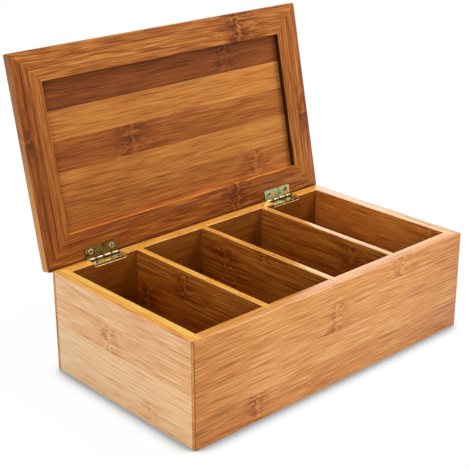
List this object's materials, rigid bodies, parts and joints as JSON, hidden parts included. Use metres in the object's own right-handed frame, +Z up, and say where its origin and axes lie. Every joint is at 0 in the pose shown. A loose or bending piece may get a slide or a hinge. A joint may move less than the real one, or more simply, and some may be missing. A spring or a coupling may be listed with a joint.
{
  "type": "tea bag organizer box",
  "caption": "Bamboo organizer box for tea bags: a tray divided into equal upright compartments, with a framed lid on butt hinges, shown open.",
  "frame": {"origin": "centre of the tray's flat underside", "axes": "+X along the tray's length to the right, +Y back towards the hinges, +Z up"},
  "size_m": [0.2902, 0.2053, 0.241],
  "materials": {
    "tray_bamboo": "satin clear lacquer on carbonised bamboo",
    "divider_bamboo": "satin clear lacquer on carbonised bamboo",
    "frame_bamboo": "satin clear lacquer on carbonised bamboo",
    "panel_bamboo": "satin clear lacquer on carbonised bamboo",
    "plated_leaf": "yellow passivated steel sheet",
    "plated_pin": "yellow passivated steel wire",
    "plated_screw": "yellow passivated steel"
  },
  "bodies": {
    "tray": {"front_wall": "tray_bamboo", "rear_wall": "tray_bamboo", "left_wall": "tray_bamboo", "right_wall": "tray_bamboo", "bottom_panel": "divider_bamboo", "left_divider": "divider_bamboo", "middle_divider": "divider_bamboo", "right_divider": "divider_bamboo", "left_hinge_box_leaf": "plated_leaf", "left_hinge_pin": "plated_pin", "left_hinge_box_screws": "plated_screw", "right_hinge_box_leaf": "plated_leaf", "right_hinge_pin": "plated_pin", "right_hinge_box_screws": "plated_screw"},
    "lid": {"lid_front_rail": "frame_bamboo", "lid_rear_rail": "frame_bamboo", "lid_left_stile": "frame_bamboo", "lid_right_stile": "frame_bamboo", "lid_panel": "panel_bamboo", "left_hinge_lid_leaf": "plated_leaf", "left_hinge_lid_screws": "plated_screw", "right_hinge_lid_leaf": "plated_leaf", "right_hinge_lid_screws": "plated_screw"}
  },
  "joints": [
    {"name": "lid_hinge", "type": "hinge", "parent": "tray", "child": "lid", "pos_m": [0, 0.08075, 0.0806], "axis": [1, 0, 0], "range_deg": [0, 101.6]}
  ]
}
